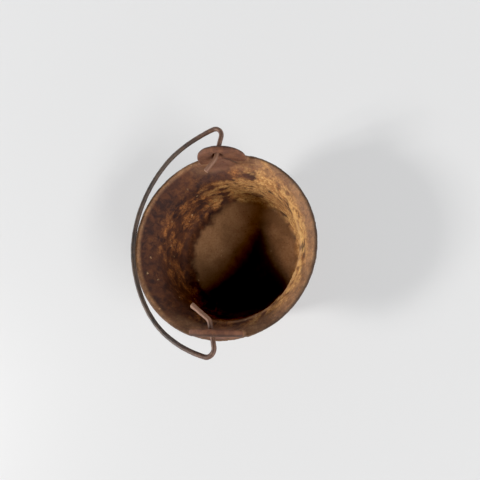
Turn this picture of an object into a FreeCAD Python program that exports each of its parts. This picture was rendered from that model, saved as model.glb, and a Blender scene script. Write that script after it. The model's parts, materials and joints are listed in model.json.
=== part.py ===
"""Bailed cast-iron kettle: a flared bowl with a flat floor and two upright ears, and a loose wire bail.

Frame, in millimetres: +Z up, the origin on the bowl's axis in the plane that its foot ring stands on.
The ears and the bail's pivot line lie along Y. At rest the bail lies down towards -X, on the rim.
"""
import FreeCAD
import Part
import math
import os

import Sketcher
from FreeCAD import Vector

SIZES = {
    # bowl
    "rim_radius": 95.0,
    "rim_height": 78.0,
    "rim_land": 3.4,
    "rim_edge": 2.0,
    "rim_round": 1.2,
    "lip_depth": 18.5,
    "throat_radius": 76.5,
    "step_width": 1.2,
    "step_depth": 2.2,
    "wall": 3.8,
    "floor_radius": 70.0,
    "floor_thickness": 4.0,
    "floor_round": 7.0,
    "ring_radius": 60.0,
    "ring_width": 5.0,
    "ring_height": 1.2,
    # ears
    "ear_face": 84.0,
    "ear_thickness": 6.5,
    "ear_radius": 25.0,
    "ear_height": 30.5,
    "root_inside": 9.9,
    "root_outside": 2.2,
    "ear_round": 2.0,
    "eye_height": 18.8,
    "eye_radius": 5.0,
    # bail
    "wire_radius": 2.38,
    "bow_radius": 113.5,
    "bow_reach": 95.9,
    "shoulder_radius": 8.0,
    "leg_lean": 14.0,
    "leg_inside": 7.0,
    "bend_radius": 7.0,
    "far_hook_angle": 42.0,
    "far_hook_length": 14.0,
    "near_hook_angle": 55.0,
    "near_hook_length": 21.0,
    "slide": 2.5,
    "rest_gap": 0.3,
}
NEAR = 0.01  # mm within which two lengths count as the same
SHARE = 0.01  # how far a volume may be from the one worked out, as a share of it
BOW_HALF_SWEEP = math.radians(80)  # of the bow as it is first drawn, before its ends are joined
START, END, CENTRE = 1, 2, 3
X_AXIS, Y_AXIS = -1, -2
ORIGIN = (-1, START)

doc = FreeCAD.newDocument("kettle")
sheet = doc.addObject("Spreadsheet::Sheet", "sizes")
for row, (name, number) in enumerate(SIZES.items(), start=1):
    sheet.set(f"A{row}", name)
    sheet.set(f"B{row}", str(number))
    sheet.setAlias(f"B{row}", name)
doc.recompute()


def size(name):
    return float(sheet.get(name))


def new_body(label):
    body = doc.addObject("PartDesign::Body", label)
    body.Label = label
    return body


def origin_plane(body, role):
    return next(item for item in body.Origin.OriginFeatures if item.Role == role)


def new_sketch(body, name, role):
    """An empty sketch on one of the body's own origin planes."""
    sketch = body.newObject("Sketcher::SketchObject", name)
    sketch.AttachmentSupport = (origin_plane(body, role), "")
    sketch.MapMode = "FlatFace"
    return sketch


def drawn_value(sketch, kind, where):
    """What a dimension measures on the sketch as it is drawn so far."""
    if kind == "Radius":
        return sketch.Geometry[where[0]].Radius
    span = sketch.getPoint(*where[2:]) - sketch.getPoint(*where[:2])
    return span.x if kind == "DistanceX" else span.y


def bind(sketch, kind, where, formula):
    """Add one dimension to a sketch and tie it to the sheet; $ stands for the sheet."""
    start = drawn_value(sketch, kind, where)
    index = sketch.addConstraint(Sketcher.Constraint(kind, *where, start))
    sketch.setExpression(f"Constraints[{index}]", formula.replace("$", "sizes."))


def place(sketch, point, across, up):
    """Hold a sketch point at a distance across and up from the origin."""
    bind(sketch, "DistanceX", (*ORIGIN, *point), across)
    bind(sketch, "DistanceY", (*ORIGIN, *point), up)


def nearest_end(sketch, piece, point):
    """Which end of a line or an arc in the sketch lies at a point."""
    shape = sketch.Geometry[piece]
    gap_start = (shape.StartPoint - point).Length
    gap_end = (shape.EndPoint - point).Length
    return START if gap_start < gap_end else END


def arc_between(centre, start, end):
    """The shorter arc round a centre between two points, drawn anticlockwise as sketches want it."""
    if (start - centre).cross(end - centre).z < 0:
        start, end = end, start
    middle = ((start + end) * 0.5 - centre).normalize()
    return Part.Arc(start, centre + middle * (start - centre).Length, end)


def draw_outline(sketch, corners):
    """A closed outline of straight lines whose corners the sheet drives.

    Each corner is a pair of formulas. The lines are drawn roughly, on a circle, and the dimensions
    pull them to size. A corner on the sketch's upright axis has None as its first formula.
    """
    count = len(corners)
    turns = [2 * math.pi * index / count for index in range(count + 1)]
    rough = [Vector(100 + 50 * math.cos(turn), 50 * math.sin(turn), 0) for turn in turns]
    for index in range(count):
        sketch.addGeometry(Part.LineSegment(rough[index], rough[index + 1]), False)
    for index, (across, up) in enumerate(corners):
        before = (index - 1) % count
        sketch.addConstraint(Sketcher.Constraint("Coincident", before, END, index, START))
        if across is None:
            sketch.addConstraint(Sketcher.Constraint("PointOnObject", index, START, Y_AXIS))
            bind(sketch, "DistanceY", (*ORIGIN, index, START), up)
        else:
            place(sketch, (index, START), across, up)


def turn_about_axis(body, name, sketch):
    """Revolve a sketch all the way round its upright axis."""
    feature = body.newObject("PartDesign::Revolution", name)
    feature.Profile = sketch
    feature.ReferenceAxis = (sketch, ["V_Axis"])
    feature.Angle = 360.0
    doc.recompute()
    return feature


def edges_where(shape, wanted):
    return [f"Edge{number}" for number, edge in enumerate(shape.Edges, start=1) if wanted(edge)]


def round_edges(body, name, base, wanted, radius):
    fillet = body.newObject("PartDesign::Fillet", name)
    fillet.Base = (base, edges_where(base.Shape, wanted))
    fillet.setExpression("Radius", f"sizes.{radius}")
    doc.recompute()
    return fillet


def is_ring(edge, radius, height):
    """Whether an edge is the circle of this radius round the bowl's axis at this height."""
    curve = edge.Curve
    return (
        isinstance(curve, Part.Circle)
        and abs(curve.Radius - radius) < NEAR
        and abs(curve.Center.z - height) < NEAR
    )


def is_arch_edge(edge, half, face):
    """Whether an edge runs up the side or over the top of an ear, on the face towards the bowl."""
    ends = edge.Vertexes
    if len(ends) < 2 or any(abs(abs(end.Y) - face) > NEAR for end in ends):
        return False
    if isinstance(edge.Curve, Part.Circle):
        return abs(edge.Curve.Axis.y) > 0.99 and abs(edge.Curve.Radius - half) < NEAR
    return isinstance(edge.Curve, Part.Line) and all(abs(abs(end.X) - half) < NEAR for end in ends)


def cut_both_ways(body, name, sketch):
    """Cut a sketch right through the body, to both sides of its plane."""
    pocket = body.newObject("PartDesign::Pocket", name)
    pocket.Profile = sketch
    pocket.Type = "ThroughAll"
    pocket.Midplane = True
    doc.recompute()
    return pocket


def check_cut(before, after, wanted):
    """Stop unless a cut took the volume that it should, because one that misses shows no error."""
    taken = before.Shape.Volume - after.Shape.Volume
    if abs(taken - wanted) > SHARE * wanted:
        raise RuntimeError(f"{after.Name} took {taken:.0f} mm3 and should take {wanted:.0f}")


def build_pot():
    """The casting: bowl, flared lip, foot ring and both ears in one piece."""
    body = new_body("pot")
    throat = "$rim_height - $lip_depth"
    lip_slope = "($rim_radius - $rim_land - $throat_radius) / $lip_depth"
    lip_foot = f"$rim_height - $rim_edge - ($rim_radius - $throat_radius - $wall) / ({lip_slope})"

    profile = new_sketch(body, "bowl_section", "XZ_Plane")
    draw_outline(profile, [
        (None, "$ring_height + $floor_thickness"),
        ("$floor_radius", "$ring_height + $floor_thickness"),
        ("$throat_radius - $step_width", f"{throat} - $step_depth"),
        ("$throat_radius", throat),
        ("$rim_radius - $rim_land", "$rim_height"),
        ("$rim_radius", "$rim_height"),
        ("$rim_radius", "$rim_height - $rim_edge"),
        ("$throat_radius + $wall", lip_foot),
        ("$floor_radius + $wall", "$ring_height"),
        ("$ring_radius", "$ring_height"),
        ("$ring_radius", "0"),
        ("$ring_radius - $ring_width", "0"),
        ("$ring_radius - $ring_width", "$ring_height"),
        (None, "$ring_height"),
    ])
    bowl = turn_about_axis(body, "bowl", profile)

    rim, floor = size("rim_height"), size("ring_height") + size("floor_thickness")
    outer, inner = size("rim_radius"), size("rim_radius") - size("rim_land")
    corner, foot = size("floor_radius"), size("ring_height")
    rim_round = round_edges(
        body, "rim_round", bowl,
        lambda edge: is_ring(edge, outer, rim) or is_ring(edge, inner, rim),
        "rim_round",
    )
    round_edges(
        body, "corner_round", rim_round,
        lambda edge: is_ring(edge, corner, floor) or is_ring(edge, corner + size("wall"), foot),
        "floor_round",
    )

    # An ear is a slab across the flare of the lip, with a root that follows the slope of the lip.
    slab = new_sketch(body, "ear_section", "YZ_Plane")
    outer_face = "$ear_face + $ear_thickness"
    draw_outline(slab, [
        ("$ear_face", "$rim_height - $root_inside"),
        (outer_face, "$rim_height - $root_outside"),
        (outer_face, "$rim_height + $ear_height"),
        ("$ear_face", "$rim_height + $ear_height"),
    ])
    ear = body.newObject("PartDesign::Pad", "ear")
    ear.Profile = slab
    ear.Midplane = True
    ear.setExpression("Length", "2 * sizes.ear_radius")
    doc.recompute()
    ears = body.newObject("PartDesign::Mirrored", "ears")
    ears.Originals = [ear]
    ears.MirrorPlane = (origin_plane(body, "XZ_Plane"), [""])
    body.Tip = ears
    doc.recompute()

    # The corners above the springing line are cut away to leave a half-round top.
    corners = new_sketch(body, "ear_corners", "XZ_Plane")
    half, top = size("ear_radius"), rim + size("ear_height")
    for side in (-1, 1):
        edge, crown = Vector(side * half, top - half, 0), Vector(0, top, 0)
        first = corners.addGeometry(arc_between(Vector(0, top - half, 0), edge, crown), False)
        outside, above = Vector(side * half, top, 0), crown
        corners.addGeometry(Part.LineSegment(edge, outside), False)
        corners.addGeometry(Part.LineSegment(outside, above), False)
        corners.addConstraint(Sketcher.Constraint("Coincident", first + 1, END, first + 2, START))
        for line, point in ((first + 1, edge), (first + 2, above)):
            ends = (line, nearest_end(corners, line, point), first, nearest_end(corners, first, point))
            corners.addConstraint(Sketcher.Constraint("Coincident", *ends))
        corners.addConstraint(Sketcher.Constraint("Vertical", first + 1))
        corners.addConstraint(Sketcher.Constraint("Horizontal", first + 2))
        bind(corners, "Radius", (first,), "$ear_radius")
        corners.addConstraint(Sketcher.Constraint("PointOnObject", first, CENTRE, Y_AXIS))
        corners.addConstraint(Sketcher.Constraint("PointOnObject", first + 2, END, Y_AXIS))
        for point in ((first, CENTRE), (first + 1, START)):
            bind(corners, "DistanceY", (*ORIGIN, *point), "$rim_height + $ear_height - $ear_radius")
    arches = cut_both_ways(body, "arches", corners)
    taken = 2 * (2 - math.pi / 2) * half ** 2 * size("ear_thickness")
    check_cut(ears, arches, taken)

    eye = new_sketch(body, "eye", "XZ_Plane")
    eye.addGeometry(Part.Circle(Vector(0, rim, 0), Vector(0, 0, 1), size("eye_radius")), False)
    eye.addConstraint(Sketcher.Constraint("PointOnObject", 0, CENTRE, Y_AXIS))
    bind(eye, "DistanceY", (*ORIGIN, 0, CENTRE), "$rim_height + $eye_height")
    bind(eye, "Radius", (0,), "$eye_radius")
    eyes = cut_both_ways(body, "eyes", eye)
    check_cut(arches, eyes, 2 * math.pi * size("eye_radius") ** 2 * size("ear_thickness"))

    face = size("ear_face")
    round_edges(body, "ear_round", eyes, lambda edge: is_arch_edge(edge, half, face), "ear_round")
    return body


def add_joined(sketch, shape, neighbour, point):
    """Add a line or an arc that carries smoothly on from a neighbour at a point."""
    piece = sketch.addGeometry(shape, False)
    ends = (neighbour, nearest_end(sketch, neighbour, point), piece, nearest_end(sketch, piece, point))
    sketch.addConstraint(Sketcher.Constraint("Tangent", *ends))
    return piece


def bind_across(sketch, inner, outer, side, formula):
    """Tie how far an outer point lies beyond an inner one, along the pivot line."""
    bind(sketch, "DistanceY", (*inner, *outer) if side > 0 else (*outer, *inner), formula)


def add_end(sketch, bow, side, hook):
    """One end of the bail: shoulder, leg through the ear, bend and hook. It gives back the leg.

    side is +1 at the far ear (+Y) and -1 at the near one. hook is "far" or "near".
    """
    lean, turned = (math.radians(size(name)) for name in ("leg_lean", f"{hook}_hook_angle"))
    inward = Vector(-math.sin(lean), -side * math.cos(lean), 0)
    towards_bow = Vector(-math.cos(lean), side * math.sin(lean), 0)
    inward_hook = Vector(-math.sin(turned), -side * math.cos(turned), 0)
    hook_side = Vector(-math.cos(turned), side * math.sin(turned), 0)
    pivot = Vector(0, side * (size("ear_face") + size("ear_thickness") / 2), 0)

    # The shoulder touches the bow from inside and the leg from the bow's side.
    radius = size("shoulder_radius")
    bow_centre = Vector(size("bow_radius") - size("bow_reach"), 0, 0)
    start = pivot + towards_bow * radius - bow_centre
    along = start.dot(inward)
    spare = start.dot(start) - (size("bow_radius") - radius) ** 2
    shoulder_centre = bow_centre + start + inward * (-along - math.sqrt(along ** 2 - spare))
    outward = (shoulder_centre - bow_centre).normalize()
    bow_end = shoulder_centre + outward * radius
    leg_end = shoulder_centre - towards_bow * radius

    bend_start = pivot + inward * size("leg_inside")
    bend_centre = bend_start + towards_bow * size("bend_radius")
    bend_end = bend_centre - hook_side * size("bend_radius")
    tip = bend_end + inward_hook * size(f"{hook}_hook_length")

    shoulder = add_joined(sketch, arc_between(shoulder_centre, bow_end, leg_end), bow, bow_end)
    leg = add_joined(sketch, Part.LineSegment(leg_end, bend_start), shoulder, leg_end)
    bend = add_joined(sketch, arc_between(bend_centre, bend_start, bend_end), leg, bend_start)
    end = add_joined(sketch, Part.LineSegment(bend_end, tip), bend, bend_end)

    bind(sketch, "Radius", (shoulder,), "$shoulder_radius")
    bind(sketch, "Radius", (bend,), "$bend_radius")
    angle, length = f"${hook}_hook_angle * 1deg", f"${hook}_hook_length"
    bind_across(sketch, (end, END), (end, START), side, f"{length} * cos({angle})")
    bind(sketch, "DistanceX", (end, END, end, START), f"{length} * sin({angle})")
    return leg


def hang_leg(sketch, leg, side):
    """Run a leg through the middle of its ear's eye, at its lean."""
    pivot = Vector(0, side * (size("ear_face") + size("ear_thickness") / 2), 0)
    eye = (sketch.addGeometry(Part.Point(pivot), True), START)
    sketch.addConstraint(Sketcher.Constraint("PointOnObject", *eye, Y_AXIS))
    sketch.addConstraint(Sketcher.Constraint("PointOnObject", *eye, leg))
    bind_across(sketch, ORIGIN, eye, side, "$ear_face + $ear_thickness / 2")
    bind_across(sketch, (leg, END), eye, side, "$leg_inside * cos($leg_lean * 1deg)")
    bind(sketch, "DistanceX", (leg, END, *eye), "$leg_inside * sin($leg_lean * 1deg)")


def build_bail():
    """The bail: one wire, a round bow whose ends pass in through the ears and are bent back as hooks."""
    body = new_body("bail")
    route = new_sketch(body, "route", "XY_Plane")
    radius = size("bow_radius")
    centre = Vector(radius - size("bow_reach"), 0, 0)
    circle = Part.Circle(centre, Vector(0, 0, 1), radius)
    sweep = (math.pi - BOW_HALF_SWEEP, math.pi + BOW_HALF_SWEEP)
    bow = route.addGeometry(Part.ArcOfCircle(circle, *sweep), False)
    route.addConstraint(Sketcher.Constraint("PointOnObject", bow, CENTRE, X_AXIS))
    bind(route, "DistanceX", (*ORIGIN, bow, CENTRE), "$bow_radius - $bow_reach")
    bind(route, "Radius", (bow,), "$bow_radius")
    far_leg = add_end(route, bow, 1, "far")
    near_leg = add_end(route, bow, -1, "near")
    pieces = [f"Edge{number}" for number in range(1, len(route.Geometry) + 1)]
    hang_leg(route, far_leg, 1)
    hang_leg(route, near_leg, -1)
    doc.recompute()

    section = body.newObject("Sketcher::SketchObject", "section")
    section.AttachmentSupport = (route, pieces[-1])
    section.MapMode = "NormalToEdge"
    section.MapPathParameter = 1.0
    section.addGeometry(Part.Circle(Vector(0, 0, 0), Vector(0, 0, 1), size("wire_radius")), False)
    section.addConstraint(Sketcher.Constraint("Coincident", 0, CENTRE, *ORIGIN))
    bind(section, "Radius", (0,), "$wire_radius")
    wire = body.newObject("PartDesign::AdditivePipe", "wire")
    wire.Profile = section
    wire.Spine = (route, pieces)
    doc.recompute()

    expected = math.pi * size("wire_radius") ** 2 * route.Shape.Length
    if abs(wire.Shape.Volume - expected) > SHARE * expected:
        raise RuntimeError(f"the wire holds {wire.Shape.Volume:.0f} mm3 and should hold {expected:.0f}")

    # The body is laid down about its pivot line until the bow rests on the rim.
    drop = "(sizes.eye_height - sizes.wire_radius - sizes.rest_gap) / sizes.bow_reach"
    body.setExpression("Placement.Base.y", "sizes.slide")
    body.setExpression("Placement.Base.z", "sizes.rim_height + sizes.eye_height")
    body.Placement.Rotation.Axis = Vector(0, 1, 0)
    body.setExpression("Placement.Rotation.Angle", f"-asin({drop})")
    doc.recompute()
    return body


bodies = [build_pot(), build_bail()]
doc.recompute()

faulty = [item.Name for item in doc.Objects if {"Invalid", "Error"} & set(item.State)]
if faulty:
    raise RuntimeError(f"these failed to compute: {faulty}")
for body in bodies:
    if body.Shape.isNull() or not body.Shape.isValid() or len(body.Shape.Solids) != 1:
        raise RuntimeError(f"{body.Label} isn't one sound solid")

os.makedirs("parts", exist_ok=True)
for body in bodies:
    body.Shape.exportStep(f"parts/{body.Label}.step")
    box = body.Shape.BoundBox
    print(body.Label, f"{body.Shape.Volume / 1000:.1f} cm3", box)
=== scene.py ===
"""Bailed cast-iron kettle, rusted: one casting and one hooked wire, on a pale studio floor.

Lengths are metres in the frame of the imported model: +Z up, the origin on the bowl's axis in the plane
that the foot ring stands on, both ears and the bail's pivot line along Y, the bail lying towards -X.
"""
import json
import math
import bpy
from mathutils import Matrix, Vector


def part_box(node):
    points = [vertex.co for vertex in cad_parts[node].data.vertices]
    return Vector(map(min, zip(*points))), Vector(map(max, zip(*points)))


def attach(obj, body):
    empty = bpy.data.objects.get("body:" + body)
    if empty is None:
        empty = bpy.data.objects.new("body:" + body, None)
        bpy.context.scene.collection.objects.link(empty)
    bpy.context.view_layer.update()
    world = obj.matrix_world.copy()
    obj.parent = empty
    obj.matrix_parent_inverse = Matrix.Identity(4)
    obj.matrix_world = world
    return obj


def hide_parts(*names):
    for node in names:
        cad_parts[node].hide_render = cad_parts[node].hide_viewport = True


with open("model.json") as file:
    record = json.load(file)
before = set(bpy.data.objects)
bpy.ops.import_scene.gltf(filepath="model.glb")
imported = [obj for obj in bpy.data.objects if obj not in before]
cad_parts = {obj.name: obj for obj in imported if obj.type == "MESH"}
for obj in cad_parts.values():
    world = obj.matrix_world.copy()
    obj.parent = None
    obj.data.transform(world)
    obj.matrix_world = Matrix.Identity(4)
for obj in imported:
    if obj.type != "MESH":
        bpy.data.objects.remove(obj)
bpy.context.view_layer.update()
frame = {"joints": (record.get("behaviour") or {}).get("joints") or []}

from types import SimpleNamespace

import bmesh
import bpy
import numpy as np
from mathutils import Euler, Matrix, Vector, noise

MM = 0.001

# The casting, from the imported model's box and the pattern's own dimensions.
POT_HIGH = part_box("pot")[1]
RIM_RADIUS = POT_HIGH.x
EAR_HEIGHT = 30.5 * MM
RIM_HEIGHT = POT_HIGH.z - EAR_HEIGHT
RIM_LAND = 3.4 * MM
RIM_EDGE = 2.0 * MM
LIP_DEPTH = 18.5 * MM
THROAT_RADIUS = 76.5 * MM
STEP_WIDTH = 1.2 * MM
STEP_DEPTH = 2.2 * MM
WALL = 3.8 * MM
FLOOR_RADIUS = 70.0 * MM
FLOOR_THICKNESS = 4.0 * MM
FLOOR_ROUND = 7.0 * MM
RING_RADIUS = 60.0 * MM
RING_WIDTH = 5.0 * MM
RING_HEIGHT = 1.2 * MM
EAR_FACE = 84.0 * MM
EAR_THICKNESS = 6.5 * MM
EAR_RADIUS = 25.0 * MM
EAR_ROUND = 2.0 * MM
ROOT_INSIDE = 9.9 * MM
ROOT_OUTSIDE = 2.2 * MM
EYE_RADIUS = 5.0 * MM

# The bail, from its joint and the wire's own dimensions. Lengths lie in the bail's own plane.
PIVOT = Vector(frame["joints"][0]["pos_m"])
WIRE_RADIUS = 2.38 * MM
BOW_RADIUS = 113.5 * MM
BOW_REACH = 95.9 * MM
SHOULDER_RADIUS = 8.0 * MM
LEG_LEAN = math.radians(14)
LEG_INSIDE = 7.0 * MM
BEND_RADIUS = 7.0 * MM
FAR_HOOK = {"angle": math.radians(42), "length": 14.0 * MM}
NEAR_HOOK = {"angle": math.radians(55), "length": 21.0 * MM}
SLIDE = 2.5 * MM
REST_GAP = 0.3 * MM
WIRE_SWAY = 1.0 * MM
WIRE_LIFT = 0.7 * MM

# How finely the two pieces are made.
SKIN = 1.05 * MM
TURNS = 256
WIRE_SIDES = 20
WIRE_STEP = 0.7 * MM
TOUCHING = 0.01 * MM

# Where the painted shadow starts on the floor, and which way it widens: a dark wedge laid into the colour
# where neither window reaches the floor.
SHADOW_WEDGE_START = (25 * MM, 47 * MM)
SHADOW_WEDGE_WAY = math.radians(-94)

THROAT_HEIGHT = RIM_HEIGHT - LIP_DEPTH
FLOOR_HEIGHT = RING_HEIGHT + FLOOR_THICKNESS
LIP_SLOPE = (RIM_RADIUS - RIM_LAND - THROAT_RADIUS) / LIP_DEPTH
REST_DROP = math.asin((PIVOT.z - RIM_HEIGHT - WIRE_RADIUS - REST_GAP) / BOW_REACH)
LIP_FOOT = RIM_HEIGHT - RIM_EDGE - (RIM_RADIUS - THROAT_RADIUS - WALL) / LIP_SLOPE


# ---------------------------------------------------------------- camera, floor and light

CAMERA_LENS = 31.5
CAMERA_PLACE = Vector((1.332, -0.931, 4.069))  # from the middle of the rim, in rim radii
CAMERA_TILT = Euler((math.radians(12.68), math.radians(15.41), 0.0))
CAMERA_SWING = math.radians(1.3)
FLOOR_SPAN = 12
LIGHT_DISTANCE = 6.5
LIGHT_TALL = 1.0
ROOM_STRENGTH = 3.8
BLACK_LEVEL = 0.005


def set_camera():
    """The camera looks down on the kettle from its place above the rim."""
    swing = Matrix.Rotation(CAMERA_SWING, 4, "Z")
    place = Matrix.Translation(CAMERA_PLACE * RIM_RADIUS) @ CAMERA_TILT.to_matrix().to_4x4()
    data = bpy.data.cameras.new("camera")
    data.lens = CAMERA_LENS
    data.clip_start = 0.01
    camera = bpy.data.objects.new("camera", data)
    bpy.context.scene.collection.objects.link(camera)
    camera.matrix_world = Matrix.Translation((0, 0, RIM_HEIGHT)) @ swing @ place
    bpy.context.scene.camera = camera


def soft_light(name, azimuth, elevation, width, power, tint):
    """A soft box that looks at the kettle; azimuth turns anticlockwise from +X."""
    data = bpy.data.lights.new(name, "AREA")
    data.shape = "RECTANGLE"
    data.size = width
    data.size_y = LIGHT_TALL
    data.energy = power
    data.color = tint
    light = bpy.data.objects.new(name, data)
    bpy.context.scene.collection.objects.link(light)
    turn, rise = math.radians(azimuth), math.radians(elevation)
    level = math.cos(rise)
    towards = Vector((math.cos(turn) * level, math.sin(turn) * level, math.sin(rise)))
    light.location = Vector((0, 0, RIM_HEIGHT)) + towards * LIGHT_DISTANCE
    light.rotation_euler = towards.to_track_quat("Z", "Y").to_euler()


def light_room():
    """Pale walls all round that are bright low down, under a dark ceiling."""
    world = bpy.data.worlds.new("room")
    bpy.context.scene.world = world
    world.use_nodes = True
    tree = world.node_tree
    tree.nodes.clear()
    direction = add(tree, "TexCoord").outputs["Generated"]
    height = add(tree, "SeparateXYZ", {"Vector": direction}).outputs["Z"]
    walls = add(tree, "ValToRGB", {"Fac": height})
    shades = walls.color_ramp.elements
    shades[0].position = 0.0
    shades[0].color = (0.95, 0.97, 1.0, 1)
    shades[1].position = 0.34
    shades[1].color = (0.012, 0.012, 0.013, 1)
    edge = shades.new(0.2)
    edge.color = (0.9, 0.93, 0.98, 1)
    glow = add(tree, "Background", {"Color": walls.outputs["Color"], "Strength": ROOM_STRENGTH})
    backdrop = add(tree, "Background", {"Color": (0.8, 0.81, 0.82, 1), "Strength": 1.0})
    seen = add(tree, "LightPath").outputs["Is Camera Ray"]
    shown = add(tree, "MixShader", {0: seen, 1: glow.outputs[0], 2: backdrop.outputs[0]})
    add(tree, "OutputWorld", {"Surface": shown.outputs[0]})


def lay_floor():
    """The wide board that the kettle stands on."""
    bpy.ops.mesh.primitive_plane_add(size=FLOOR_SPAN)
    floor = bpy.context.object
    floor.name = "floor"
    floor.data.materials.append(pale_board())


# ---------------------------------------------------------------- shader helpers

def feed(tree, socket, value):
    """Link a socket to another one, or give it a plain value."""
    if isinstance(value, bpy.types.NodeSocket):
        tree.links.new(value, socket)
    else:
        socket.default_value = value


def add(tree, kind, inputs=None, **settings):
    """Add a shader node, set it up, and feed each input that is named or numbered."""
    made = tree.nodes.new(f"ShaderNode{kind}")
    for name, value in settings.items():
        setattr(made, name, value)
    for name, value in (inputs or {}).items():
        feed(tree, made.inputs[name], value)
    return made


def paint(red, green, blue):
    """A colour from its 0 to 255 screen values, in the linear light that shaders take."""
    linear = [((part / 255 + 0.055) / 1.055) ** 2.4 for part in (red, green, blue)]
    return (*linear, 1.0)


def pale_board():
    """Matt white board with a faint glow of its own."""
    material = bpy.data.materials.new("pale_board")
    material.use_nodes = True
    shader = material.node_tree.nodes["Principled BSDF"]
    shader.inputs["Base Color"].default_value = (0.33, 0.333, 0.337, 1)
    shader.inputs["Emission Color"].default_value = (1, 1, 1, 1)
    shader.inputs["Emission Strength"].default_value = 0.39
    shader.inputs["Roughness"].default_value = 0.55
    shader.inputs["Specular IOR Level"].default_value = 0.2
    return material


def mix(tree, share, first, second):
    """One colour laid over another by a share from 0 to 1."""
    return add(tree, "Mix", {0: share, 6: first, 7: second}, data_type="RGBA").outputs[2]


def mix_value(tree, share, first, second):
    """One number laid over another by a share from 0 to 1."""
    return add(tree, "Mix", {0: share, 2: first, 3: second}).outputs[0]


def step(tree, value, low, high):
    """A soft step from 0 to 1 as the input passes from low to high."""
    span = {"Value": value, "From Min": low, "From Max": high}
    return add(tree, "MapRange", span, interpolation_type="SMOOTHSTEP").outputs["Result"]


def calc(tree, operation, first, second, clamp=False):
    """Two numbers put together by one operation."""
    return add(tree, "Math", {0: first, 1: second}, operation=operation, use_clamp=clamp).outputs[0]


def times(tree, first, second):
    """One share of another, kept from 0 to 1."""
    return calc(tree, "MULTIPLY", first, second, clamp=True)


def lay(tree, colour, over, *shares):
    """Lay one colour over another by the product of its shares."""
    share = shares[0]
    for other in shares[1:]:
        share = times(tree, share, other)
    return mix(tree, share, colour, over)


def new_group(name, inputs, outputs):
    """An empty shader node group; it gives back its tree, its input sockets and its output node."""
    tree = bpy.data.node_groups.new(name, "ShaderNodeTree")
    for label, start in inputs:
        socket = tree.interface.new_socket(name=label, in_out="INPUT", socket_type="NodeSocketFloat")
        socket.default_value = start
    for label in outputs:
        tree.interface.new_socket(name=label, in_out="OUTPUT", socket_type="NodeSocketFloat")
    return tree, tree.nodes.new("NodeGroupInput").outputs, tree.nodes.new("NodeGroupOutput")


def use_group(tree, group, values):
    """Put a node group to use and give back its outputs."""
    return add(tree, "Group", values, node_tree=group).outputs


def noise_mask(tree, place, scale, detail, rough, warp=0.0):
    """Uneven patches from 0 to 1."""
    return add(tree, "TexNoise", {"Vector": place, "Scale": scale, "Detail": detail,
                                  "Roughness": rough, "Distortion": warp}).outputs["Fac"]


def rust_bloom_group():
    """Rust in clouds, blotches and grains.

    Size is the clouds' size in metres, and Stretch lays them in level bands.
    """
    tree, given, out = new_group("rust_bloom", [("Size", 0.03), ("Stretch", 1.0)],
                                 ["Clouds", "Blotches", "Grains", "Height"])
    squash = add(tree, "CombineXYZ", {"X": 1.0, "Y": 1.0, "Z": given["Stretch"]}).outputs["Vector"]
    place = add(tree, "VectorMath", {0: add(tree, "TexCoord").outputs["Object"], 1: squash},
                operation="MULTIPLY").outputs["Vector"]
    scale = calc(tree, "DIVIDE", 1.0, given["Size"])
    clouds = noise_mask(tree, place, scale, 4.0, 0.6, 0.6)
    blotches = noise_mask(tree, place, calc(tree, "MULTIPLY", scale, 4.6), 5.0, 0.65, 0.35)
    grains = noise_mask(tree, place, calc(tree, "MULTIPLY", scale, 24.0), 4.0, 0.7)
    tree.links.new(step(tree, clouds, 0.36, 0.64), out.inputs["Clouds"])
    tree.links.new(step(tree, blotches, 0.38, 0.66), out.inputs["Blotches"])
    tree.links.new(step(tree, grains, 0.2, 0.8), out.inputs["Grains"])
    tree.links.new(mix_value(tree, 0.6, blotches, grains), out.inputs["Height"])
    return tree


def pits_group():
    """Small ragged corrosion pits. Size is their spacing in metres and Amount how many of them show."""
    tree, given, out = new_group("corrosion_pits", [("Size", 0.003), ("Amount", 0.5)], ["Mask", "Height"])
    place = add(tree, "TexCoord").outputs["Object"]
    scale = calc(tree, "DIVIDE", 1.0, given["Size"])
    cells = add(tree, "TexVoronoi", {"Vector": place, "Scale": scale, "Randomness": 1.0})
    ragged = noise_mask(tree, place, calc(tree, "MULTIPLY", scale, 3.0), 3.0, 0.7)
    lot = add(tree, "SeparateColor", {"Color": cells.outputs["Color"]}).outputs["Red"]
    chosen = calc(tree, "LESS_THAN", lot, given["Amount"])
    reach = calc(tree, "ADD", cells.outputs["Distance"], calc(tree, "MULTIPLY", ragged, 1.1))
    mask = times(tree, step(tree, reach, 0.86, 0.6), chosen)
    tree.links.new(mask, out.inputs["Mask"])
    tree.links.new(calc(tree, "SUBTRACT", 1.0, mask), out.inputs["Height"])
    return tree


def read(tree, name):
    """A finish's mask, as it is stored on the mesh."""
    return add(tree, "Attribute", attribute_name=name).outputs["Fac"]


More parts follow.
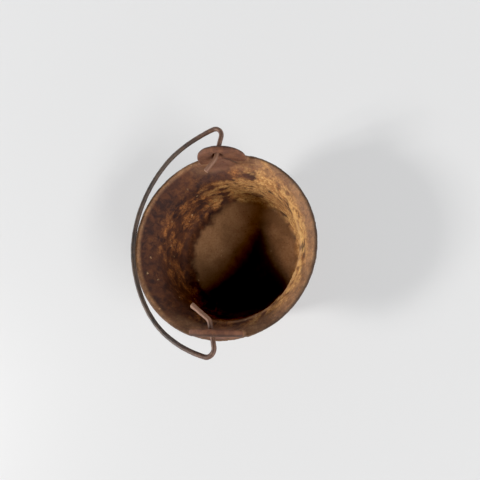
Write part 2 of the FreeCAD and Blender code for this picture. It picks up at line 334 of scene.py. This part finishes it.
def wall_colour(tree, looks, masks):
    """The wall: dark scale with rust in it, then crust, then dry sandy rust; the outside is sooty."""
    rust, fine, bands, sandy = looks["rust"], looks["fine"], looks["bands"], looks["sandy"]
    scale = mix(tree, rust["Clouds"], paint(41, 26, 26), paint(70, 42, 32))
    scale = lay(tree, scale, paint(112, 66, 38), rust["Blotches"], 0.45)
    sooty = mix(tree, rust["Clouds"], paint(48, 38, 34), paint(96, 62, 44))
    sooty = lay(tree, sooty, paint(124, 76, 48), fine["Blotches"], 0.5)
    colour = lay(tree, scale, sooty, masks["outside"])
    crust = mix(tree, rust["Blotches"], paint(108, 64, 38), paint(172, 110, 60))
    crust = lay(tree, crust, paint(88, 50, 34), fine["Clouds"], 0.45)
    colour = lay(tree, colour, crust, masks["crust"], step(tree, fine["Blotches"], -0.2, 0.6))
    dusty = mix(tree, bands["Blotches"], paint(158, 108, 62), paint(222, 176, 110))
    dusty = lay(tree, dusty, paint(136, 84, 46), bands["Clouds"], 0.45)
    colour = lay(tree, colour, dusty, masks["dry"], 0.92)
    grainy = mix_value(tree, masks["dry"], times(tree, masks["crust"], 0.12), 0.34)
    grainy = times(tree, grainy, masks["crust"])
    colour = lay(tree, colour, paint(230, 176, 106), grainy, step(tree, sandy, 0.5, 0.85))
    return lay(tree, colour, paint(86, 48, 29), grainy, step(tree, sandy, 0.5, 0.15))


def rubbed_colours(tree, colour, looks, masks):
    """The worn lip, the ears, the fans below the eyes and the film on the floor."""
    rust, fine, bands, sandy = looks["rust"], looks["fine"], looks["bands"], looks["sandy"]
    worn = mix(tree, fine["Clouds"], paint(118, 84, 58), paint(160, 118, 80))
    worn = lay(tree, worn, paint(166, 112, 62), bands["Blotches"], 0.45)
    worn = lay(tree, worn, paint(112, 74, 56), rust["Clouds"], 0.3)
    worn = lay(tree, worn, paint(84, 56, 40), step(tree, sandy, 0.5, 0.15), 0.35)
    worn = lay(tree, worn, paint(196, 148, 96), step(tree, sandy, 0.5, 0.85), 0.3)
    colour = lay(tree, colour, worn, masks["worn"], 0.88)
    ear = mix(tree, rust["Blotches"], paint(92, 58, 43), paint(122, 80, 56))
    ear = lay(tree, ear, paint(104, 64, 42), fine["Clouds"], 0.4)
    colour = lay(tree, colour, ear, masks["ear"], 0.9)
    fan = mix(tree, fine["Clouds"], paint(100, 66, 54), paint(126, 88, 68))
    colour = lay(tree, colour, fan, masks["fan"], 0.75)
    film = mix(tree, rust["Clouds"], paint(136, 101, 70), paint(170, 127, 90))
    film = lay(tree, film, paint(112, 80, 52), fine["Blotches"], 0.35)
    colour = lay(tree, colour, film, masks["film"])
    return lay(tree, colour, paint(222, 174, 106), masks["gold"], 0.75)


def cast_iron_material(bloom, pits):
    """Old cast iron: dark scale under red and orange rust, thick flaking crust, and rubbed edges; with
    painted light: a highlight along the throat, and shade on the outer edges and the floor.
    """
    material = bpy.data.materials.new("rusted_cast_iron")
    material.use_nodes = True
    tree = material.node_tree
    shader = tree.nodes["Principled BSDF"]
    rust = use_group(tree, bloom, {"Size": 0.034})
    fine = use_group(tree, bloom, {"Size": 0.011})
    sandy = use_group(tree, bloom, {"Size": 0.052})["Grains"]
    bands = use_group(tree, bloom, {"Size": 0.024, "Stretch": 2.6})
    looks = {"rust": rust, "fine": fine, "sandy": sandy, "bands": bands}
    pit = use_group(tree, pits, {"Size": 0.003, "Amount": 0.3})
    fleck = use_group(tree, pits, {"Size": 0.0045, "Amount": 0.03})
    names = ("crust", "worn", "film", "dry", "edge", "dark", "fan", "ear", "gold", "outside")
    masks = {name: read(tree, name) for name in names}

    colour = wall_colour(tree, looks, masks)
    colour = rubbed_colours(tree, colour, looks, masks)
    flecks = calc(tree, "SUBTRACT", fleck["Mask"], masks["outside"])
    colour = lay(tree, colour, paint(56, 36, 27), fine["Grains"], 0.22)
    colour = lay(tree, colour, paint(46, 28, 22), pit["Mask"], 0.4)
    colour = lay(tree, colour, paint(196, 158, 114), flecks, 0.55)
    # Rubbed edges, and a painted highlight along the throat bead.
    colour = lay(tree, colour, paint(164, 124, 92), masks["edge"], 0.5)
    # Dark scale, painted shade on the outer edges and fan borders, and the painted shadow on the floor.
    colour = lay(tree, colour, paint(38, 29, 26), masks["dark"], 0.92)
    tree.links.new(colour, shader.inputs["Base Color"])

    smooth = calc(tree, "MAXIMUM", masks["worn"], masks["fan"], clamp=True)
    rough = mix_value(tree, smooth, 0.86, 0.56)
    rough = mix_value(tree, times(tree, fine["Grains"], 0.3), rough, 0.95)
    tree.links.new(rough, shader.inputs["Roughness"])
    shader.inputs["Specular IOR Level"].default_value = 0.35
    grain = mix_value(tree, 0.4, fine["Height"], pit["Height"])
    flaky = mix_value(tree, 0.5, rust["Height"], fine["Height"])
    coarse = mix_value(tree, masks["crust"], grain, flaky)
    calm = mix_value(tree, times(tree, masks["film"], 0.6), coarse, 0.5)
    bump = add(tree, "Bump", {"Height": calm, "Strength": 0.7, "Distance": 0.001})
    tree.links.new(bump.outputs["Normal"], shader.inputs["Normal"])
    return material


def wire_material(bloom, pits):
    """Iron wire: dark oxide on the bow, red rust at the shoulders, rubbed paler where the hooks turn."""
    material = bpy.data.materials.new("oxidised_wire")
    material.use_nodes = True
    tree = material.node_tree
    shader = tree.nodes["Principled BSDF"]
    rust = use_group(tree, bloom, {"Size": 0.02})
    pit = use_group(tree, pits, {"Size": 0.0022, "Amount": 0.35})
    ends, hooks, tips = (read(tree, name) for name in ("ends", "hooks", "tips"))
    colour = mix(tree, rust["Clouds"], paint(42, 37, 35), paint(70, 58, 50))
    colour = lay(tree, colour, paint(104, 74, 52), rust["Blotches"], 0.25)
    red = mix(tree, rust["Blotches"], paint(78, 54, 44), paint(106, 76, 58))
    colour = mix(tree, ends, colour, red)
    pale = mix(tree, rust["Grains"], paint(98, 66, 52), paint(126, 92, 70))
    colour = mix(tree, hooks, colour, pale)
    colour = mix(tree, tips, colour, paint(160, 124, 96))
    colour = lay(tree, colour, paint(34, 24, 20), pit["Mask"], 0.5)
    tree.links.new(colour, shader.inputs["Base Color"])
    shader.inputs["Metallic"].default_value = 0.25
    rough = mix_value(tree, rust["Grains"], 0.42, 0.7)
    tree.links.new(rough, shader.inputs["Roughness"])
    height = mix_value(tree, 0.5, rust["Height"], pit["Height"])
    bump = add(tree, "Bump", {"Height": height, "Strength": 0.4, "Distance": 0.0004})
    tree.links.new(bump.outputs["Normal"], shader.inputs["Normal"])
    return material


# ---------------------------------------------------------------- the casting

def arc_points(centre, radius, start, end, steps):
    """Points along an arc, from one angle to another."""
    turns = [start + (end - start) * step / steps for step in range(steps + 1)]
    return [(centre[0] + radius * math.cos(turn), centre[1] + radius * math.sin(turn)) for turn in turns]


def rounded(corners, radii, steps=6):
    """An outline whose corners are replaced by arcs; a radius of 0 keeps the corner sharp."""
    points = []
    count = len(corners)
    for index, radius in enumerate(radii):
        corner = Vector(corners[index])
        if radius == 0:
            points.append(tuple(corner))
            continue
        before = (Vector(corners[index - 1]) - corner).normalized()
        after = (Vector(corners[(index + 1) % count]) - corner).normalized()
        half = before.angle(after) / 2
        centre = corner + (before + after).normalized() * (radius / math.sin(half))
        first = corner + before * (radius / math.tan(half)) - centre
        turn = math.pi - 2 * half
        if first.x * (after.y - before.y) - first.y * (after.x - before.x) < 0:
            turn = -turn
        begin = math.atan2(first.y, first.x)
        points += arc_points(centre, radius, begin, begin + turn, steps)
    return points


def bowl_section():
    """Half of the bowl's section as (radius, height): from the floor over the rim to the underside."""
    corners = [
        (0, FLOOR_HEIGHT),
        (FLOOR_RADIUS, FLOOR_HEIGHT),
        (THROAT_RADIUS - STEP_WIDTH, THROAT_HEIGHT - STEP_DEPTH),
        (THROAT_RADIUS, THROAT_HEIGHT),
        (RIM_RADIUS - RIM_LAND, RIM_HEIGHT),
        (RIM_RADIUS, RIM_HEIGHT),
        (RIM_RADIUS, RIM_HEIGHT - RIM_EDGE),
        (THROAT_RADIUS + WALL, LIP_FOOT),
        (FLOOR_RADIUS + WALL, RING_HEIGHT),
        (RING_RADIUS, RING_HEIGHT),
        (RING_RADIUS, 0),
        (RING_RADIUS - RING_WIDTH, 0),
        (RING_RADIUS - RING_WIDTH, RING_HEIGHT),
        (0, RING_HEIGHT),
    ]
    lip_rounds = [1.2 * MM, 1.0 * MM, 0.9 * MM, 6 * MM]
    ring_rounds = [0.4 * MM, 0.4 * MM]
    radii = [0, FLOOR_ROUND, 0, 0, *lip_rounds, FLOOR_ROUND, 0, *ring_rounds, 0, 0]
    return rounded(corners, radii)


def add_bowl(bm):
    """Turn the bowl's section round the axis."""
    section = [bm.verts.new((radius, 0, height)) for radius, height in bowl_section()]
    lines = [bm.edges.new(pair) for pair in zip(section, section[1:])]
    bmesh.ops.spin(
        bm, geom=section + lines, cent=(0, 0, 0), axis=(0, 0, 1),
        angle=2 * math.pi, steps=TURNS, use_merge=True,
    )


def add_ear(bm, side):
    """One upright ear: a half-round slab with an eye, its edges rounded, its root sunk into the lip."""
    springing = RIM_HEIGHT + EAR_HEIGHT - EAR_RADIUS
    arch = arc_points((0, springing), EAR_RADIUS, 0, math.pi, 40)
    eye = arc_points((0, PIVOT.z), EYE_RADIUS, 0, 2 * math.pi, 48)[:-1]
    faces = []
    for face, root in ((EAR_FACE, ROOT_INSIDE), (EAR_FACE + EAR_THICKNESS, ROOT_OUTSIDE)):
        foot = RIM_HEIGHT - root
        outline = [(EAR_RADIUS, foot), *arch, (-EAR_RADIUS, foot)]
        faces.append([
            [bm.verts.new((x, side * face, z)) for x, z in loop] for loop in (outline, eye)
        ])
    edges = []
    for loops in faces:
        for loop in loops:
            edges += [bm.edges.new(pair) for pair in zip(loop, loop[1:] + loop[:1])]
    for loops in faces:
        ring = [edge for edge in edges if edge.verts[0] in loops[0] + loops[1]]
        bmesh.ops.triangle_fill(bm, edges=ring, use_beauty=True)
    for inner, outer in zip(faces[0], faces[1]):
        for index in range(len(inner)):
            after = (index + 1) % len(inner)
            bm.faces.new((inner[index], inner[after], outer[after], outer[index]))
    bmesh.ops.recalc_face_normals(bm, faces=bm.faces)
    rims = [
        edge for edge in edges
        if all(vert.co.z > RIM_HEIGHT - ROOT_INSIDE + MM for vert in edge.verts)
    ]
    bmesh.ops.bevel(bm, geom=rims, offset=EAR_ROUND * 0.9, segments=4, profile=0.5, affect="EDGES")


def joined_skin():
    """The bowl and both ears under one even skin, as the mould gave them."""
    solids = []
    for name, build in (
        ("bowl", add_bowl),
        ("far_ear", lambda bm: add_ear(bm, 1)),
        ("near_ear", lambda bm: add_ear(bm, -1)),
    ):
        bm = bmesh.new()
        build(bm)
        bmesh.ops.remove_doubles(bm, verts=bm.verts, dist=TOUCHING)
        bmesh.ops.recalc_face_normals(bm, faces=bm.faces)
        mesh = bpy.data.meshes.new(name)
        bm.to_mesh(mesh)
        bm.free()
        solids.append(mesh)
    whole = bmesh.new()
    for mesh in solids:
        whole.from_mesh(mesh)
    mesh = bpy.data.meshes.new("kettle_casting")
    whole.to_mesh(mesh)
    whole.free()
    for spare in solids:
        bpy.data.meshes.remove(spare)
    casting = bpy.data.objects.new("kettle_casting", mesh)
    bpy.context.scene.collection.objects.link(casting)
    skin = casting.modifiers.new("skin", "REMESH")
    skin.mode = "VOXEL"
    skin.voxel_size = SKIN
    bake_modifiers(casting)
    return casting


def bake_modifiers(piece):
    """Put the result of a piece's modifiers into its own mesh."""
    evaluated = piece.evaluated_get(bpy.context.evaluated_depsgraph_get())
    made = bpy.data.meshes.new_from_object(evaluated)
    old = piece.data
    piece.modifiers.clear()
    piece.data = made
    made.name = piece.name
    bpy.data.meshes.remove(old)


def ramp(value, low, high):
    """A soft step from 0 at low to 1 at high, over a whole array."""
    share = np.clip((value - low) / (high - low), 0, 1)
    return share * share * (3 - 2 * share)


def noise_start(seed):
    """Where in the noise a layer starts, so that no two layers are alike."""
    return Vector((seed * 7.31, seed * 3.17, seed * 5.53))


def noise_at(points, size, seed):
    """Smooth noise from about -1 to 1 at every point. Its lumps lie about one size apart."""
    start = noise_start(seed)
    return np.array([noise.noise(Vector(point) / size + start) for point in points.tolist()])


def fractal_at(points, size, seed):
    """The same noise with finer and finer lumps over it."""
    start = noise_start(seed)
    return np.array([
        noise.fractal(Vector(point) / size + start, 1.0, 2.1, 4) for point in points.tolist()
    ])


def terraces(value, layers):
    """Turn smooth lumps into flat flakes with steep edges."""
    scaled = value * layers
    floor = np.floor(scaled)
    return (floor + ramp(scaled - floor, 0.35, 0.65)) / layers


def vertex_rows(mesh, name):
    """A vector of every vertex, such as its place or its normal, as the rows of an array."""
    values = np.empty(len(mesh.vertices) * 3, np.float32)
    mesh.vertices.foreach_get(name, values)
    return values.reshape(-1, 3).astype(float)


def store(mesh, name, values):
    """Keep a finish's mask on the mesh, where its material reads it."""
    attribute = mesh.attributes.new(name, "FLOAT", "POINT")
    attribute.data.foreach_set("value", np.clip(values, 0, 1).astype(np.float32))


def convexity(points, normals, mesh):
    """How sharply the skin turns outwards at each point: 1 on an edge, 0 on the flat."""
    pairs = np.empty(len(mesh.edges) * 2, np.int32)
    mesh.edges.foreach_get("vertices", pairs)
    one, other = pairs[::2], pairs[1::2]
    total = np.zeros(len(points))
    count = np.zeros(len(points))
    between = points[other] - points[one]
    length = np.linalg.norm(between, axis=1) + 1e-9
    for near, sign in ((one, 1.0), (other, -1.0)):
        fall = -(between * sign * normals[near]).sum(1) / length
        total += np.bincount(near, fall, len(points))
        count += np.bincount(near, minlength=len(points))
    bend = total / np.maximum(count, 1)
    for _ in range(2):
        spread = np.bincount(one, bend[other], len(points))
        spread += np.bincount(other, bend[one], len(points))
        bend = 0.4 * bend + 0.6 * spread / np.maximum(count, 1)
    return ramp(bend, 0.05, 0.17)


def survey(points):
    """Where each point of the skin lies, and the uneven layers that all of its finishes share."""
    radius = np.hypot(points[:, 0], points[:, 1])
    height = points[:, 2]
    inside_line = np.interp(height, [0, FLOOR_HEIGHT, THROAT_HEIGHT, RIM_HEIGHT],
                            [FLOOR_RADIUS, FLOOR_RADIUS, THROAT_RADIUS, RIM_RADIUS - RIM_LAND])
    outside_line = np.interp(height, [0, LIP_FOOT, RIM_HEIGHT - RIM_EDGE],
                             [FLOOR_RADIUS + WALL, THROAT_RADIUS + WALL, RIM_RADIUS])
    middle = (inside_line + outside_line) / 2
    above_floor = ramp(height, RING_HEIGHT + 1 * MM, FLOOR_HEIGHT - 1 * MM)
    inside = ramp(middle - radius, -0.4 * MM, 0.4 * MM) * above_floor
    ear = ramp(height, RIM_HEIGHT + 0.5 * MM, RIM_HEIGHT + 2 * MM)
    ear_middle = EAR_FACE + EAR_THICKNESS / 2
    ear_front = ramp(ear_middle - np.abs(points[:, 1]), -1.5 * MM, 1.5 * MM)
    return SimpleNamespace(
        points=points,
        radius=radius,
        height=height,
        turn=np.arctan2(points[:, 1], points[:, 0]),
        inside=inside * (1 - ear) + ear * ear_front,
        ear=ear,
        lip=ramp(height, THROAT_HEIGHT + 4 * MM, RIM_HEIGHT - 8 * MM),
        top=ramp(height, RIM_HEIGHT - 4 * MM, RIM_HEIGHT - 0.5 * MM),
        broad=noise_at(points, 30 * MM, 1),
        lumps=noise_at(points, 9 * MM, 2),
        grain=fractal_at(points, 3.2 * MM, 3),
        patches=fractal_at(points, 16 * MM, 4),
        flakes=fractal_at(points * (1, 1, 2.2), 9 * MM, 5),
    )


def wall_rust(at):
    """Crust on the wall and round the throat. It is dry and pale on the side towards +X and +Y."""
    outer_floor = ramp(at.radius + 4 * MM * at.patches, FLOOR_RADIUS - 11 * MM, FLOOR_RADIUS - 1 * MM)
    by_far_ear = np.exp(-((at.turn - math.radians(69)) / math.radians(12)) ** 2)
    crust_top = RIM_HEIGHT - 6.5 * MM + 15 * MM * by_far_ear
    below_lip = 1 - ramp(at.height + 3 * MM * at.patches - crust_top, -2.5 * MM, 2.5 * MM)
    near_throat = ramp(at.height, THROAT_HEIGHT - 9 * MM, THROAT_HEIGHT)
    dry_turn = math.radians(38) - math.radians(36) * near_throat
    dry_side = ramp(np.cos(at.turn - dry_turn) + 0.2 * at.patches, 0.02, 0.72)
    dry_side = np.maximum(dry_side, 0.5 * by_far_ear)
    # The side towards -X, where less crust and wear are laid; the lip there is kept darker as painted
    # shade.
    dark_side = ramp(-np.cos(at.turn - math.radians(-8)) + 0.1 * at.patches, 0.08, 0.7)
    wall = at.inside * outer_floor * below_lip
    crust = wall * ramp(at.patches + 0.5 * at.flakes + 0.5 * dry_side, -0.3, 0.45)
    crust *= 1 - 0.8 * dark_side * ramp(at.height, THROAT_HEIGHT - 8 * MM, THROAT_HEIGHT + 5 * MM)
    dry = wall * dry_side * ramp(at.flakes + 0.6 * at.patches + 0.62 * dry_side, -0.2, 0.7)
    return crust, dry, dry_side, dark_side


def floor_finish(at, dark_side):
    """A film of rust on the floor, and a painted shadow over it: a dark wedge that widens as it goes,
    between the floor's two lit lobes.
    """
    reach = at.radius + (3 + 5 * dark_side) * MM * at.patches + 8 * MM * dark_side
    film = at.inside * (1 - ramp(reach, FLOOR_RADIUS - 10 * MM, FLOOR_RADIUS - 1 * MM))
    film *= 1 - ramp(at.height, FLOOR_HEIGHT + 2 * MM, FLOOR_HEIGHT + 8 * MM)
    from_start = at.points[:, :2] - np.array(SHADOW_WEDGE_START)
    way = np.array((math.cos(SHADOW_WEDGE_WAY), math.sin(SHADOW_WEDGE_WAY)))
    along = np.maximum(from_start @ way, 0)
    across = np.abs(from_start[:, 0] * way[1] - from_start[:, 1] * way[0])
    edge = 5 * MM + along ** 2 / (155 * MM) - across + 5 * MM * at.patches
    painted_shadow = film * ramp(edge, -9 * MM, 12 * MM) * ramp(along, -2 * MM, 12 * MM)
    return film, painted_shadow


def hook_fans(at):
    """The fan that each hook has polished below its eye, and the dark border round it: rust along its
    edge, and in part a painted shadow of the hook.
    """
    below_eye = PIVOT.z - EYE_RADIUS - at.height
    edge = 3 * MM + 0.7 * below_eye - np.abs(at.points[:, 0])
    edge = edge + 2 * MM * at.lumps + 3 * MM * at.patches
    by_ear = at.inside * (np.abs(at.points[:, 1]) > 0.7 * EAR_FACE) * ramp(below_eye, 0, 3 * MM)
    by_ear = by_ear * (1 - ramp(below_eye + 5 * MM * at.patches, 16 * MM, 29 * MM))
    fan = by_ear * ramp(edge, -1 * MM, 6 * MM)
    border = by_ear * np.exp(-(edge / (1.9 * MM)) ** 2)
    return fan, border


def ear_backs(at):
    """The rounded edge of each ear on the side away from the bowl, where it is kept dark: dark scale, and
    painted shade.
    """
    back = EAR_FACE + EAR_THICKNESS
    behind = at.ear * ramp(np.abs(at.points[:, 1]), back - 3.2 * MM, back - 1.2 * MM)
    from_springing = np.hypot(at.points[:, 0], at.height - RIM_HEIGHT - EAR_HEIGHT + EAR_RADIUS)
    return behind * ramp(from_springing + 1.5 * MM * at.patches, EAR_RADIUS - 5 * MM, EAR_RADIUS - 1 * MM)


def cast_rise(at, crust, worn, film, throat_bead, fan_border):
    """How far each point stands off the smooth casting, in millimetres."""
    rise = 0.24 * at.broad + 0.13 * at.lumps + 0.07 * at.grain
    rise += crust * (0.8 * np.clip(terraces(at.flakes * 0.9 + 0.35, 4), 0, 1) + 0.28 * at.grain)
    rise += (1 - at.inside) * (1 - at.ear) * (0.2 * at.flakes + 0.1 * at.grain)
    rise += 0.45 * throat_bead * (0.7 + 0.6 * at.lumps) - 0.35 * fan_border
    pit_depth = ramp(-at.grain, 0.35, 0.75) * ramp(at.patches, -0.2, 0.4)
    rise -= 0.5 * pit_depth * (1 - 0.6 * worn) * (1 - 0.8 * film)
    on_land = ramp(at.height, RIM_HEIGHT - 2.5 * MM, RIM_HEIGHT - 0.8 * MM) * (1 - at.ear)
    rise = np.where(on_land > 0.5, np.minimum(rise, 0.05), rise)
    return (rise - 0.12) * ramp(at.height, 0.3 * MM, 1.5 * MM)


def weather_casting(mesh):
    """Give the skin its cast unevenness, pits and rust crust, and store where each finish shows."""
    points = vertex_rows(mesh, "co")
    normals = vertex_rows(mesh, "normal")
    at = survey(points)
    crust, dry, dry_side, dark_side = wall_rust(at)
    # The worn colour is held off the lip on the dark side: painted shade there.
    worn = np.maximum(at.inside * at.lip * (1 - dark_side), at.top)
    worn = worn * (0.7 + 0.3 * ramp(at.lumps, -0.5, 0.2)) * (1 - 0.5 * crust) * (1 - at.ear)
    film, painted_shadow = floor_finish(at, dark_side)
    fan, fan_border = hook_fans(at)
    crust, dry, worn = (mask * (1 - fan) for mask in (crust, dry, worn))

    above_throat = at.height - THROAT_HEIGHT
    gold = at.inside * np.exp(-((above_throat - 1.5 * MM + 2 * MM * at.patches) / (3.5 * MM)) ** 2)
    gold *= ramp(np.cos(at.turn) + 0.05 * at.lumps, 0.78, 0.95) * ramp(at.flakes, -0.5, 0.2)
    throat_bead = at.inside * np.exp(-((above_throat - 0.4 * MM) / (1.1 * MM)) ** 2)
    by_ears = np.exp(-((np.abs(np.abs(at.turn) - math.pi / 2)) / math.radians(17)) ** 2)
    ear_iron = np.maximum(at.ear, 0.75 * by_ears * at.inside * at.lip) * (1 - 0.9 * dry)
    outer_edge = ramp(at.radius, RIM_RADIUS - 4.5 * MM, RIM_RADIUS - 0.5 * MM) * at.top * (1 - at.ear)
    # The rim's outer rounding is kept dark: dark scale, and painted shade that is strongest on the side
    # away from the left window.
    dark_edge = outer_edge * (0.6 + 0.35 * dry_side)
    # The dark mask holds dark scale and painted shade on the outer edges and fan borders, and the painted
    # shadow on the floor.
    dark = np.maximum.reduce([dark_edge, 0.8 * ear_backs(at), 0.8 * fan_border, painted_shadow])
    edge = convexity(points, normals, mesh) * (1 - outer_edge) * (1 - at.ear)
    # A paler line along the throat bead on the side that faces the right window: a painted highlight,
    # kept in the edge mask with the rubbed edges.
    lit_side = ramp(np.cos(at.turn - math.radians(-38)), 0.3, 0.8)
    edge = np.maximum(edge, 1.6 * throat_bead * lit_side * ramp(at.lumps, -0.5, 0.1))
    finishes = {"crust": crust, "worn": worn, "film": film, "dry": dry, "edge": edge, "dark": dark,
                "fan": fan, "ear": ear_iron, "gold": gold, "outside": 1 - at.inside}

    rise = cast_rise(at, crust, worn, film, throat_bead, fan_border)
    moved = points + normals * (rise * MM)[:, None]
    mesh.vertices.foreach_set("co", moved.astype(np.float32).ravel())
    mesh.update()
    for name, values in finishes.items():
        store(mesh, name, values)


def ease_roots(casting):
    """Weights for the corners where an ear rises from the lip, which the mould left rounded."""
    points = vertex_rows(casting.data, "co")
    radius = np.hypot(points[:, 0], points[:, 1])
    lip_height = THROAT_HEIGHT + (radius - THROAT_RADIUS) / LIP_SLOPE
    surface = np.where(radius < RIM_RADIUS - RIM_LAND, lip_height, RIM_HEIGHT)
    off_lip = np.abs(points[:, 2] - surface)
    across = np.abs(points[:, 1])
    off_face = np.minimum(np.abs(across - EAR_FACE), np.abs(across - EAR_FACE - EAR_THICKNESS))
    off_flank = np.abs(np.abs(points[:, 0]) - EAR_RADIUS)
    beside = (np.abs(points[:, 0]) < EAR_RADIUS + 4 * MM) & (across > EAR_FACE - 5 * MM)
    near = np.minimum(off_face, off_flank)
    weight = (1 - ramp(off_lip, 2 * MM, 5 * MM)) * (1 - ramp(near, 2 * MM, 5 * MM)) * beside
    group = casting.vertex_groups.new(name="roots")
    for index in np.flatnonzero(weight > 0.02).tolist():
        group.add([index], float(weight[index]), "REPLACE")
    return group.name


def build_casting(finish):
    """The bowl with its ears, smoothed as the mould left it, then weathered."""
    casting = joined_skin()
    tooled = casting.modifiers.new("tooled", "SMOOTH")
    tooled.factor = 0.5
    tooled.iterations = 3
    roots = casting.modifiers.new("roots", "SMOOTH")
    roots.vertex_group = ease_roots(casting)
    roots.factor = 0.5
    roots.iterations = 30
    bake_modifiers(casting)
    casting.vertex_groups.clear()
    weather_casting(casting.data)
    casting.data.shade_smooth()
    casting.data.materials.clear()
    casting.data.materials.append(finish)
    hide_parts("pot")
    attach(casting, "pot")


# ---------------------------------------------------------------- the bail

def in_bail_plane(across, along):
    """A point of the bail's plane at rest.

    Across runs from the pivot away from the bow, and along runs up the pivot line.
    """
    turn = Matrix.Rotation(-REST_DROP, 3, "Y")
    return turn @ Vector((across, along, 0)) + PIVOT + Vector((0, SLIDE, 0))


def end_route(side, hook):
    """The route of one end, from where the bow stops to the hook's tip, as points in the bail's plane."""
    pivot = Vector((0, side * (EAR_FACE + EAR_THICKNESS / 2)))
    inward = Vector((-math.sin(LEG_LEAN), -side * math.cos(LEG_LEAN)))
    towards_bow = Vector((-math.cos(LEG_LEAN), side * math.sin(LEG_LEAN)))
    bow_centre = Vector((BOW_RADIUS - BOW_REACH, 0))
    start = pivot + towards_bow * SHOULDER_RADIUS - bow_centre
    along = start.dot(inward)
    spare = start.dot(start) - (BOW_RADIUS - SHOULDER_RADIUS) ** 2
    shoulder = bow_centre + start + inward * (-along - math.sqrt(along ** 2 - spare))
    outward = (shoulder - bow_centre).normalized()
    from_angle = math.atan2(outward.y, outward.x)
    to_angle = math.atan2(-towards_bow.y, -towards_bow.x)
    sweep = -side * (side * (from_angle - to_angle) % (2 * math.pi))
    route = arc_points(shoulder, SHOULDER_RADIUS, from_angle, from_angle + sweep, 16)
    bend_start = pivot + inward * LEG_INSIDE
    bend_centre = bend_start + towards_bow * BEND_RADIUS
    hook_side = Vector((-math.cos(hook["angle"]), side * math.sin(hook["angle"])))
    last = math.atan2(-hook_side.y, -hook_side.x)
    turn = (last - to_angle + math.pi) % (2 * math.pi) - math.pi
    route += arc_points(bend_centre, BEND_RADIUS, to_angle, to_angle + turn, 8)
    tip = bend_centre - hook_side * BEND_RADIUS + Vector(
        (-math.sin(hook["angle"]), -side * math.cos(hook["angle"]))
    ) * hook["length"]
    route.append(tuple(tip))
    return from_angle, route


def bail_route():
    """The whole wire in the bail's plane, from the far hook's tip to the near one's."""
    far_angle, far = end_route(1, FAR_HOOK)
    near_angle, near = end_route(-1, NEAR_HOOK)
    centre = (BOW_RADIUS - BOW_REACH, 0)
    bow = arc_points(centre, BOW_RADIUS, far_angle, near_angle % (2 * math.pi), 120)
    return far[::-1] + bow[1:-1] + near


def even_line(route, spacing):
    """The same route with points at even steps, and how far along it each one lies."""
    route = np.array(route)
    steps = np.linalg.norm(np.diff(route, axis=0), axis=1)
    reached = np.concatenate(([0.0], np.cumsum(steps)))
    along = np.linspace(0, reached[-1], int(reached[-1] / spacing) + 1)
    return np.stack([np.interp(along, reached, route[:, axis]) for axis in range(3)], 1), along


def build_bail(finish):
    """Sweep the wire along its route: a little out of true, pitted, and spread at one sheared end."""
    line, along = even_line([in_bail_plane(*point) for point in bail_route()], WIRE_STEP)
    length = along[-1]
    from_end = np.minimum(along, length - along)
    free = ramp(from_end, 38 * MM, 70 * MM)
    sway = np.array([noise.noise(Vector((value / 0.055, 4.2, 0))) for value in along])
    lift = np.array([noise.noise(Vector((value / 0.07, 0, 9.1))) for value in along])
    tangent = np.gradient(line, axis=0)
    tangent /= np.linalg.norm(tangent, axis=1)[:, None]
    up = np.array(Matrix.Rotation(-REST_DROP, 3, "Y") @ Vector((0, 0, 1)))
    side = np.cross(tangent, up)
    side /= np.linalg.norm(side, axis=1)[:, None]
    line = line + side * (sway * free * WIRE_SWAY)[:, None]
    line = line + up * (np.abs(lift) * free * WIRE_LIFT)[:, None]

    turns = np.arange(WIRE_SIDES) / WIRE_SIDES * 2 * math.pi
    near_tip = 1 - ramp(length - along, 1 * MM, 9 * MM)
    bm = bmesh.new()
    rings = []
    for index, (middle, across) in enumerate(zip(line, side)):
        spread = near_tip[index]
        wide, thick = 1 + 0.16 * spread, 1 - 0.16 * spread
        trim = 0.82 if index in (0, len(line) - 1) else 1.0
        ring = []
        for turn in turns:
            way = across * (math.cos(turn) * wide) + up * (math.sin(turn) * thick)
            place = Vector(middle + way * WIRE_RADIUS)
            rough = 0.05 * noise.fractal(place / (5 * MM), 1.0, 2.0, 3)
            rough += 0.025 * noise.noise(place / (18 * MM))
            ring.append(bm.verts.new(middle + way * WIRE_RADIUS * trim * (1 + rough - 0.02)))
        rings.append(ring)
    for first, second in zip(rings, rings[1:]):
        for index in range(WIRE_SIDES):
            after = (index + 1) % WIRE_SIDES
            bm.faces.new((first[index], first[after], second[after], second[index]))
    for ring in (rings[0], rings[-1]):
        bmesh.ops.inset_individual(bm, faces=[bm.faces.new(ring)], thickness=0.5 * MM)
    bmesh.ops.recalc_face_normals(bm, faces=bm.faces)
    mesh = bpy.data.meshes.new("bail_wire")
    bm.to_mesh(mesh)
    bm.free()
    bail = bpy.data.objects.new("bail_wire", mesh)
    bpy.context.scene.collection.objects.link(bail)
    mesh.shade_smooth()

    count = len(mesh.vertices)
    reach = np.concatenate((np.repeat(from_end, WIRE_SIDES), np.zeros(count - len(line) * WIRE_SIDES)))
    store(mesh, "ends", 1 - ramp(reach, 48 * MM, 105 * MM))
    store(mesh, "hooks", 1 - ramp(reach, 22 * MM, 30 * MM))
    store(mesh, "tips", 1 - ramp(reach, 0.2 * MM, 0.9 * MM))
    mesh.materials.append(finish)
    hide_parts("bail")
    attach(bail, "bail")


set_camera()
view = bpy.context.scene.view_settings
view.view_transform = "Standard"
view.use_curve_mapping = True
view.curve_mapping.black_level = [BLACK_LEVEL] * 3
view.curve_mapping.update()
light_room()
soft_light("window_left", azimuth=195, elevation=28.8, width=1.1, power=430.0, tint=(1.0, 0.98, 0.95))
soft_light("window_right", azimuth=-33, elevation=33, width=3.9, power=350.0, tint=(1.0, 0.99, 0.97))
lay_floor()
bloom, pits = rust_bloom_group(), pits_group()
build_casting(cast_iron_material(bloom, pits))
build_bail(wire_material(bloom, pits))
